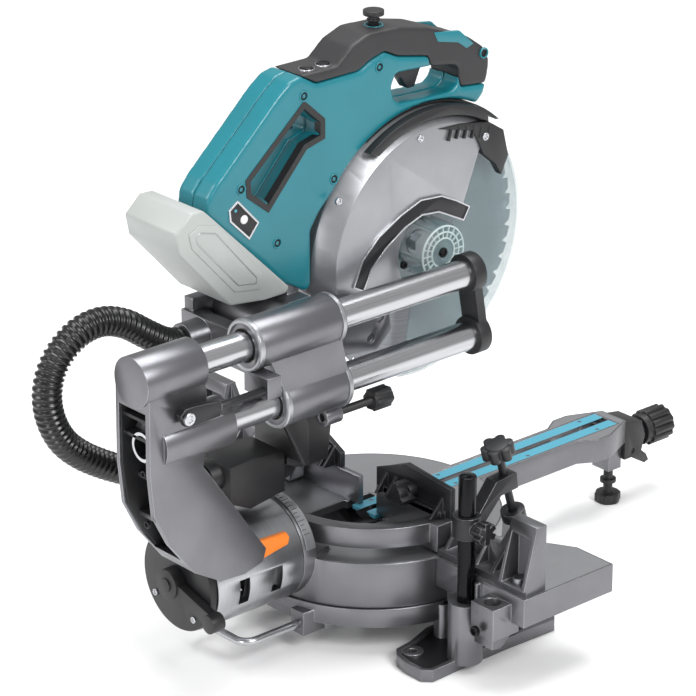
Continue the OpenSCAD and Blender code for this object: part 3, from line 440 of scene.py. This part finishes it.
finished = {node: softenNode(node, width) for node, width in softened.items()}
print("castings and mouldings finished")


moulded = {
    # node: voxel in millimetres, smoothing passes
    "handle_left": (1.3, 14), "handle_right": (1.3, 14), "handle_grip": (1.3, 16),
}


def mouldNode(node, voxel, passes):
    bm = nodeCopy(node)
    mesh = bpy.data.meshes.new(node + "_moulded")
    bm.to_mesh(mesh)
    bm.free()
    piece = bpy.data.objects.new(node + "_moulded", mesh)
    bpy.context.scene.collection.objects.link(piece)
    remesh = piece.modifiers.new("voxels", "REMESH")
    remesh.mode = "VOXEL"
    remesh.voxel_size = voxel * mm
    applied(piece)
    bm = bmesh.new()
    bm.from_mesh(piece.data)
    # the seam between the shells stays tight
    soft = [v for v in bm.verts if abs(v.co.x) > 5 * mm or "handle_" not in node]
    seam = [v for v in bm.verts if abs(v.co.x) <= 5 * mm and "handle_" in node]
    for _ in range(passes):
        bmesh.ops.smooth_vert(bm, verts=soft, factor=0.5, use_axis_x=True, use_axis_y=True,
                              use_axis_z=True)
    for _ in range(3):
        bmesh.ops.smooth_vert(bm, verts=seam, factor=0.5, use_axis_x=False, use_axis_y=True,
                              use_axis_z=True)
    bm.to_mesh(piece.data)
    bm.free()
    piece.data.shade_smooth()
    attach(piece, nodeBody[node])
    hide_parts(node)
    setMaterial(piece, finishes[nodeSlot[node]])
    return piece


for node, (voxel, passes) in moulded.items():
    finished[node] = mouldNode(node, voxel, passes)
print("handle moulded")


# the other nodes keep their shape and get their finish
for node in nodeBody:
    if node not in finished and node != "dust_hose":
        setMaterial(bpy.data.objects[node], finishes[nodeSlot[node]])
setMaterial(bpy.data.objects["blade"], bladeSteel)
setMaterial(finished["bevel_hub"], hubLines)
setMaterial(finished["vise_post"], gunBlue)
setMaterial(finished["fence_fixed"], finishes["cast_grey"])
print("finishes set")


def barrel(bm, place, axis, radius, length, segments=40, edge=0.6 * mm):
    # a round boss from place along axis, with a rounded far rim
    turn = Vector(axis).to_track_quat("Z", "Y").to_matrix().to_4x4()
    where = Matrix.Translation(Vector(place) + Vector(axis) * length / 2) @ turn
    made = bmesh.ops.create_cone(bm, cap_ends=True, segments=segments, radius1=radius, radius2=radius,
                                 depth=length, matrix=where)["verts"]
    far = [e for e in {e for v in made for e in v.link_edges}
           if all((v.co - Vector(place)).dot(Vector(axis)) > length * 0.9 for v in e.verts)]
    bmesh.ops.bevel(bm, geom=far, offset=edge, affect="EDGES", segments=3, profile=0.5, material=-1)


def hollow(bm, place, axis, outer, inner, height, segments=40):
    # a ring with a lip, spun round its axis
    turn = Vector(axis).to_track_quat("Z", "Y").to_matrix().to_4x4()
    profile = [(inner, 0), (inner, height * 0.8), (inner + (outer - inner) * 0.25, height),
               (outer - (outer - inner) * 0.25, height), (outer, height * 0.7), (outer, 0)]
    verts = [bm.verts.new((r, 0, h)) for r, h in profile]
    edges = [bm.edges.new(pair) for pair in zip(verts, verts[1:])]
    edges.append(bm.edges.new((verts[-1], verts[0])))
    spun = bmesh.ops.spin(bm, geom=verts + edges, cent=(0, 0, 0), axis=(0, 0, 1),
                          angle=2 * math.pi, steps=segments, use_merge=True)
    made = {v for v in verts if v.is_valid}
    made |= {g for g in spun["geom_last"] if isinstance(g, bmesh.types.BMVert)}
    seen = set(made)
    queue = list(made)
    while queue:
        for edge in queue.pop().link_edges:
            for other in edge.verts:
                if other not in seen:
                    seen.add(other)
                    queue.append(other)
    bmesh.ops.transform(bm, matrix=Matrix.Translation(Vector(place)) @ turn, verts=list(seen))


def socketScrew(bm, place, axis, radius, height):
    # a cap screw: round head with a hexagon sunk in its face
    turn = Vector(axis).to_track_quat("Z", "Y").to_matrix().to_4x4()
    base = Matrix.Translation(Vector(place)) @ turn
    head = bmesh.ops.create_circle(bm, cap_ends=False, segments=24, radius=radius)["verts"]
    rim = list({e for v in head for e in v.link_edges})
    made = list(head)
    for inner, z in ((radius, height * 0.8), (radius * 0.9, height), (radius * 0.62, height),
                     (radius * 0.5, height * 0.45)):
        grown = bmesh.ops.extrude_edge_only(bm, edges=rim)["geom"]
        ring = [g for g in grown if isinstance(g, bmesh.types.BMVert)]
        rim = [g for g in grown if isinstance(g, bmesh.types.BMEdge)
               and all(v in ring for v in g.verts)]
        for vert in ring:
            flat = Vector((vert.co.x, vert.co.y, 0)).normalized()
            vert.co = flat * inner + Vector((0, 0, z))
        made += ring
    bmesh.ops.edgeloop_fill(bm, edges=rim)
    bmesh.ops.transform(bm, matrix=base, verts=made)


left = Vector((-1, 0, 0))
shellScrews = {
    "face": -22 * mm, "radius": 3.6 * mm, "collar": 5.4 * mm,
    # along and up the handle's left face
    "places": [(-121, 540), (104, 546), (179, 474), (68, 458), (137, 412), (12, 554)],
}


def makeShellScrews():
    # black cap screws, each in a raised collar of the shell's own plastic
    heads, collars = bmesh.new(), bmesh.new()
    for y, z in shellScrews["places"]:
        place = (shellScrews["face"] + 1.0 * mm, y * mm, z * mm)
        hollow(collars, place, left, shellScrews["collar"], shellScrews["radius"] + 0.3 * mm, 1.9 * mm)
        socketScrew(heads, place, left, shellScrews["radius"], 1.5 * mm)
    collar = pieceFromBmesh("shell_screw_collars", collars, "handle_left")
    setMaterial(collar, finishes["teal_housing"])
    head = pieceFromBmesh("shell_screws", heads, "handle_left", 30)
    setMaterial(head, blackOxide)


blackOxide = surface("blackOxideSteel", {
    # blackened steel: dark, oily sheen
    "colour": "#17171A", "shade": "#0E0E10", "rough": 0.28, "metal": 0.6, "bump": 0.05})
satinSteel = surface("satinSteel", {
    "colour": "#C9CACD", "shade": "#B4B5B9", "rough": 0.28, "metal": 1.0, "bump": 0.05})
makeShellScrews()
print("shell screws made")


def plate(bm, points, x0, x1, edge=0.5):
    # an outline in millimetres along Y and Z, thickened from x0 to x1, its far edges rounded
    verts = [bm.verts.new((x0 * mm, y * mm, z * mm)) for y, z in points]
    grown = bmesh.ops.extrude_face_region(bm, geom=[bm.faces.new(verts)])["geom"]
    top = [g for g in grown if isinstance(g, bmesh.types.BMVert)]
    bmesh.ops.translate(bm, vec=((x1 - x0) * mm, 0, 0), verts=top)
    edges = [g for g in grown if isinstance(g, bmesh.types.BMEdge)]
    if edge:
        bmesh.ops.bevel(bm, geom=edges, offset=edge * mm, affect="EDGES", segments=2, profile=0.5,
                        material=-1)


def offsetOutline(points, by):
    # the outline grown outwards by a distance, corners mitred
    count = len(points)
    area = sum(points[i][0] * points[(i + 1) % count][1] - points[(i + 1) % count][0] * points[i][1]
               for i in range(count))
    side = 1 if area > 0 else -1
    normals = []
    for i in range(count):
        along = Vector(points[(i + 1) % count]) - Vector(points[i])
        normals.append(Vector((along.y, -along.x)).normalized() * side)
    out = []
    for i in range(count):
        a, b = normals[i - 1], normals[i]
        out.append(tuple(Vector(points[i]) + (a + b) * (by / max(1 + a.dot(b), 0.35))))
    return out


def band(bm, points, inner, outer, x0, x1):
    # a frame that follows an outline: four loops joined by faces
    loops = []
    for by, x in ((inner, x0), (inner, x1), (outer, x1), (outer, x0)):
        loops.append([bm.verts.new((x * mm, y * mm, z * mm)) for y, z in offsetOutline(points, by)])
    count = len(points)
    for a, b in zip(loops, loops[1:] + loops[:1]):
        for i in range(count):
            bm.faces.new((a[i], a[(i + 1) % count], b[(i + 1) % count], b[i]))


def makePiece(name, node, material, shapes, smooth=32):
    # shapes: a function with its arguments for each part of the piece
    bm = bmesh.new()
    for shape, *rest in shapes:
        shape(bm, *rest)
    piece = pieceFromBmesh(name, bm, node, smooth)
    setMaterial(piece, material)
    return piece


def at(*place):
    return Vector(place) * mm


front, back, up = Vector((0, -1, 0)), Vector((0, 1, 0)), Vector((0, 0, 1))

# what stands on the handle: places in millimetres, along Y and up from the bench, and depths along X
handleTrim = {
    "carry": [(104, 535), (84, 517), (84, 504), (104, 499), (148, 451), (168, 467), (169, 479)],
    "lining": {"from": -0.6, "to": 5.0, "depth": (14, 22.6)},
    "panel": [(193, 457), (184, 463), (161, 438), (171, 426), (192, 447)],
    "inlay": [(-57, 573), (-90, 568), (-108, 552), (-99, 549), (-88, 557), (-62, 563)],
    "panel depth": (-20, -22.8),
    "border": {"from": -0.4, "to": 1.5, "depth": (-20, -23.2)},
    "key": {"place": (-22, 177, 445), "radius": 4.2, "height": 1.9},
    "lamp": {"place": (-22, 186.5, 455.5), "radius": 1.6, "height": 1.3},
    "inlay depth": (18, 21.6),
    "buttons": {"places": [(-7, 88), (-7, 68)], "foot": 560, "radius": 6.5, "height": 7, "ring": 8},
    "collar": {"place": (0, 0, 583), "outer": 9.6, "inner": 7.2, "height": 5},
}


def makeHandleTrim():
    t = handleTrim
    lining, border, buttons, collar = t["lining"], t["border"], t["buttons"], t["collar"]
    for sign, node in ((-1, "handle_left"), (1, "handle_right")):
        makePiece("carry_lining_" + node[7:], node, finishes["black_plastic"],
                  [(band, t["carry"], lining["from"], lining["to"], *[sign * d for d in lining["depth"]])])
    makePiece("switch_panel", "handle_left", finishes["black_plastic"],
              [(plate, t["panel"], *t["panel depth"])])
    makePiece("switch_border", "handle_left", satinSteel,
              [(band, t["panel"], border["from"], border["to"], *border["depth"])])
    for name, key, material in (("switch_key", t["key"], signalWhite),
                                ("switch_lamp", t["lamp"], finishes["kerf_blue"])):
        makePiece(name, "handle_left", material,
                  [(barrel, at(*key["place"]), left, key["radius"] * mm, key["height"] * mm)])
    makePiece("grip_inlay", "handle_grip", finishes["teal_housing"],
              [(plate, t["inlay"], *[sign * d for d in t["inlay depth"]]) for sign in (-1, 1)])
    makePiece("top_buttons", "handle_grip", blackOxide,
              [(barrel, at(x, y, buttons["foot"]), up, buttons["radius"] * mm, buttons["height"] * mm,
                40, 1.2 * mm) for x, y in buttons["places"]])
    makePiece("top_button_rings", "handle_grip", satinSteel,
              [(hollow, at(x, y, buttons["foot"] + 2), up, buttons["ring"] * mm,
                (buttons["radius"] + 0.1) * mm, 4 * mm) for x, y in buttons["places"]])
    makePiece("lock_off_collar", "handle_grip", finishes["teal_housing"],
              [(hollow, at(*collar["place"]), up, collar["outer"] * mm, collar["inner"] * mm,
                collar["height"] * mm)])


makeHandleTrim()
print("handle trim made")

# the blade case's outer face: dark scroll, its bright lip, screws and the ribbed trim at its nose
caseTrim = {
    "scroll": [(53, 350), (42, 374), (22, 392), (-6, 407), (-31, 416), (-57, 414), (-76, 405), (-93, 395),
               (-86, 384), (-70, 392), (-54, 400), (-32, 402), (-10, 394), (14, 379), (32, 363), (42, 344)],
    "nose": [(-53, 482), (-82, 481), (-118, 475), (-137, 463), (-144, 436), (-135, 418), (-127, 431),
             (-111, 444), (-105, 457), (-97, 471)],
    "face": -32,
    "dark screws": [(-10, 356), (31, 289)],
    "bright screws": [(72, 440), (-30, 478)],
    # the black guard along the case's edge: its centre, then each arc's radius and angles in degrees
    "edge": {"centre": (-50, 362), "arcs": [(141.6, range(54, 122, 4)), (131.5, range(121, 53, -4))]},
    "ribs": [(-70, 480), (-80, 480), (-90, 478), (-100, 476), (-110, 474), (-120, 470)],
    "nose screw": (-112, 462),
}


def makeCaseTrim():
    t = caseTrim
    x = t["face"]
    makePiece("case_scroll", "blade_case", finishes["dark_cast"], [(plate, t["scroll"], x + 1, x - 1.2)])
    makePiece("case_scroll_lip", "blade_case", satinSteel, [(band, t["scroll"], -0.2, 1.3, x + 1, x - 2)])
    makePiece("case_screws", "blade_case", blackOxide,
              [(socketScrew, at(x + 0.3, y, z), left, 3.8 * mm, 2.8 * mm) for y, z in t["dark screws"]], 30)
    makePiece("case_screws_bright", "blade_case", satinSteel,
              [(socketScrew, at(x + 0.3, y, z), left, 3.6 * mm, 2.6 * mm) for y, z in t["bright screws"]], 30)
    ribs = [(plate, [(y, z), (y + 2.2, z - 0.6), (y + 6, z - 12), (y + 3.8, z - 12.6)], x + 6, x - 3.4, 0.4)
            for y, z in t["ribs"]]
    cy, cz = t["edge"]["centre"]
    edge = []
    for r, degrees in t["edge"]["arcs"]:
        edge += [(cy + r * math.cos(math.radians(d)), cz + r * math.sin(math.radians(d))) for d in degrees]
    makePiece("case_edge_guard", "blade_case", finishes["black_plastic"],
              [(plate, edge, x + 8, x - 1.4, 1.0)])
    makePiece("case_nose", "blade_case", finishes["black_plastic"],
              [(plate, t["nose"], x + 6, x - 2.2)] + ribs)
    makePiece("case_nose_screw", "blade_case", satinSteel,
              [(socketScrew, at(x - 1.8, *t["nose screw"]), left, 4 * mm, 2.6 * mm)], 30)


makeCaseTrim()
print("blade case trim made")

# bright bands and black seals at the mouths of the carriage's sleeves
sleeveTrim = {
    "radius": 24, "rail": 14,
    # rail, place of the mouth along it, way it faces
    "mouths": [("rail_upper", 119, front), ("rail_upper", 222, back), ("rail_lower", 111, front),
               ("rail_lower", 190, back)],
}


def makeSleeveTrim():
    t = sleeveTrim
    rims, seals = [], []
    for rail, y, axis in t["mouths"]:
        middle = (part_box(rail)[0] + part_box(rail)[1]) / 2
        mouth = Vector((middle.x, y * mm, middle.z))
        rims.append((hollow, mouth - axis * 5 * mm, axis, (t["radius"] + 0.7) * mm,
                     (t["radius"] - 4) * mm, 5.2 * mm, 64))
        seals.append((hollow, mouth - axis * 4 * mm, axis, (t["radius"] - 4) * mm,
                      (t["rail"] + 0.4) * mm, 3.6 * mm, 64))
    makePiece("sleeve_rims", "carriage", finishes["machined"], rims)
    makePiece("sleeve_seals", "carriage", finishes["rubber"], seals)


makeSleeveTrim()
print("sleeve rims made")

# the dome's rings and fins, and its centre screw
guardTrim = {
    "centre": (-50, 362), "dome": [27, 21, 15],
    "fins": {"count": 20, "inner": 15, "outer": 26, "half": 0.5},
}
satinClear = clearGuard("clearPolycarbonateRibs", "#D5E2E2", 0.5)


def makeGuardTrim():
    cy, cz = guardTrim["centre"]
    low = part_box("guard_dome")[0] * 1000
    rings = [(hollow, at(low.x + 0.6, cy, cz), left, r * mm, (r - 1.6) * mm, 1.6 * mm, 64)
             for r in guardTrim["dome"]]
    makePiece("dome_rings", "guard_dome", satinClear, rings)
    fin, fins = guardTrim["fins"], []
    inner, outer, half = fin["inner"], fin["outer"], fin["half"]
    for i in range(fin["count"]):
        a = 2 * math.pi * i / fin["count"]
        c, s = math.cos(a), math.sin(a)
        fins.append((plate, [(cy + inner * c - half * s, cz + inner * s + half * c),
                             (cy + outer * c - half * s, cz + outer * s + half * c),
                             (cy + outer * c + half * s, cz + outer * s - half * c),
                             (cy + inner * c + half * s, cz + inner * s - half * c)],
                     low.x + 1, low.x - 0.6, 0.15))
    makePiece("dome_fins", "guard_dome", satinClear, fins)
    makePiece("dome_screw", "guard_dome", blackOxide,
              [(socketScrew, at(low.x + 0.5, cy, cz), left, 5 * mm, 2.4 * mm)], 30)


makeGuardTrim()
print("guard trim made")

# battery: stepped side panels, each with a raised band set in from its edge
batteryTrim = {
    "panel": [(214, 450), (236, 456), (248, 450), (245, 436), (196, 382), (166, 377), (164, 392)],
}


def makeBatteryTrim():
    for sign, x in ((-1, -31), (1, 44)):
        makePiece("battery_panel_" + ("left" if sign < 0 else "right"), "battery", finishes["battery_grey"],
                  [(plate, batteryTrim["panel"], x - sign * 1, x + sign * 1.4, 0.8)])
        makePiece("battery_band_" + ("left" if sign < 0 else "right"), "battery", finishes["machined"],
                  [(band, offsetOutline(batteryTrim["panel"], -7), 0, 0.9, x, x + sign * 1.8)])


makeBatteryTrim()
print("battery trim made")

# cap screws on the stopper, the arm, the hub and the bevel latch, and the black cover with ribs on the arm's
# side
armTrim = {
    # the black cover that closes the arm's hollow side
    "cover": [(300, 344), (343, 344), (343, 262), (338, 222), (322, 190), (296, 156), (268, 140), (240, 138),
              (236, 176), (284, 256), (280, 274)],
    "ribs": [(302, 318), (302, 300), (306, 220), (296, 200)],
}


def makeArmTrim():
    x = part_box("stopper_arm")[0].x * 1000
    makePiece("stopper_screw", "stopper_arm", satinSteel,
              [(socketScrew, at(x + 0.4, 312, 315), left, 6 * mm, 3 * mm)], 30)
    makePiece("arm_screws", "arm_casting", blackOxide,
              [(socketScrew, at(-84 + 3 * i, 341.5, z), back, 3.6 * mm, 2.6 * mm)
               for i, z in enumerate((214, 262))], 30)
    makePiece("arm_cover", "arm_casting", finishes["black_plastic"],
              [(plate, armTrim["cover"], -46.5, -50.5, 0.8)]
              + [(plate, [(y, z), (y + 38, z - 6), (y + 38, z - 9), (y, z - 3)], -50, -86, 0.6)
                 for y, z in armTrim["ribs"][:2]])
    makePiece("hub_rear_screws", "hub_cap", satinSteel,
              [(socketScrew, at(40 * math.sin(a), 244.4, 95 + 40 * math.cos(a)), back, 3.4 * mm, 2.2 * mm)
               for a in (0.6, 2.2, 3.8, 5.4)], 30)
    makePiece("latch_screw", "bevel_latch", blackOxide,
              [(socketScrew, at(-56.6, 192, 129), left, 4.6 * mm, 2.4 * mm)], 30)


makeArmTrim()
print("arm trim made")

# graduations of the bevel scale, engraved and filled black
scaleMarks = {"radius": 52.7, "every": 5, "edge": 127.5}


def markBox(bm, place, size):
    made = bmesh.ops.create_cube(bm, size=mm, matrix=place @ Matrix.Diagonal((*size, 1.0)))["verts"]
    return made


def makeScales():
    marks = []
    for i in range(-9, 13):
        a = math.radians(i * scaleMarks["every"])
        long = 8 if i % 3 == 0 else 5
        turn = Matrix.Translation(at(0, 0, 95)) @ Matrix.Rotation(-a, 4, "Y")
        marks.append((markBox, turn @ Matrix.Translation(
            at(0, scaleMarks["edge"] - long / 2, scaleMarks["radius"])),
                      (0.5, long, 0.3)))
    makePiece("bevel_graduations", "bevel_scale", blackOxide, marks)


makeScales()
print("scale marked")

# painted highlight on the tops of the wings and the turntable: the casting's own up-facing top faces, set in
# from its edges, get the lighter milled finish so they read as lit from above
highlighted = {"nodes": ["base_casting", "turntable"], "inset": 1.7, "thick": 0.12}


def makeHighlightTop(node):
    bm = nodeCopy(node)
    bm.normal_update()
    drop = [f for f in bm.faces if f.normal.z < 0.99 or abs(f.calc_center_median().z - tableTop) > 0.2 * mm]
    bmesh.ops.delete(bm, geom=drop, context="FACES")
    bmesh.ops.dissolve_limit(bm, angle_limit=math.radians(1), verts=bm.verts, edges=bm.edges)
    border = bmesh.ops.inset_region(bm, faces=bm.faces[:], thickness=highlighted["inset"] * mm,
                                    use_boundary=True, use_even_offset=True)["faces"]
    bmesh.ops.delete(bm, geom=border, context="FACES")
    grown = bmesh.ops.extrude_face_region(bm, geom=bm.faces[:])["geom"]
    bmesh.ops.translate(bm, vec=(0, 0, highlighted["thick"] * mm),
                        verts=[g for g in grown if isinstance(g, bmesh.types.BMVert)])
    # the lighter milled finish on these up-facing tops is painted light from above
    setMaterial(pieceFromBmesh(node + "_highlight_top", bm, node), finishes["machined"])


for node in highlighted["nodes"]:
    makeHighlightTop(node)
print("milled tops made")

# base: cap screws of the vise clamps and the stop bolts, and a dark plate as painted shade in each foot
# plate's recess
recessShade = {
    # the foot plate's recessed floor, in (X, Y), covered by a dark plate that paints the shade in the recess
    "floor": [(112.5, -24), (112.5, 24), (122.5, 55), (125.5, 74), (132, 79), (146.5, 82.8), (166, 82.8),
              (170.5, 78), (168.8, 20), (168.8, -20), (170.5, -78), (166, -82.8), (146.5, -82.8), (132, -79),
              (125.5, -74), (122.5, -55)],
}


def shadeSlab(bm, points, sign, z):
    # a thin dark slab at height z: painted shade on the recessed floor
    verts = [bm.verts.new((sign * x * mm, y * mm, z * mm)) for x, y in points]
    grown = bmesh.ops.extrude_face_region(bm, geom=[bm.faces.new(verts)])["geom"]
    raised = [g for g in grown if isinstance(g, bmesh.types.BMVert)]
    bmesh.ops.translate(bm, vec=(0, 0, 0.5 * mm), verts=raised)


def makeBaseTrim():
    makePiece("clamp_screws", "base_casting", blackOxide,
              [(socketScrew, at(sign * 210, 57.4, 60), back, 5 * mm, 4 * mm) for sign in (-1, 1)]
              + [(socketScrew, at(sign * 124, 19, 44.5), up, 5.6 * mm, 3.4 * mm) for sign in (-1, 1)], 30)
    # dark powder-coat plates in the foot recesses: painted shade
    makePiece("foot_recess_shade", "base_casting", finishes["dark_cast"],
              [(shadeSlab, recessShade["floor"], sign, 9.0) for sign in (-1, 1)])


makeBaseTrim()
print("base trim made")
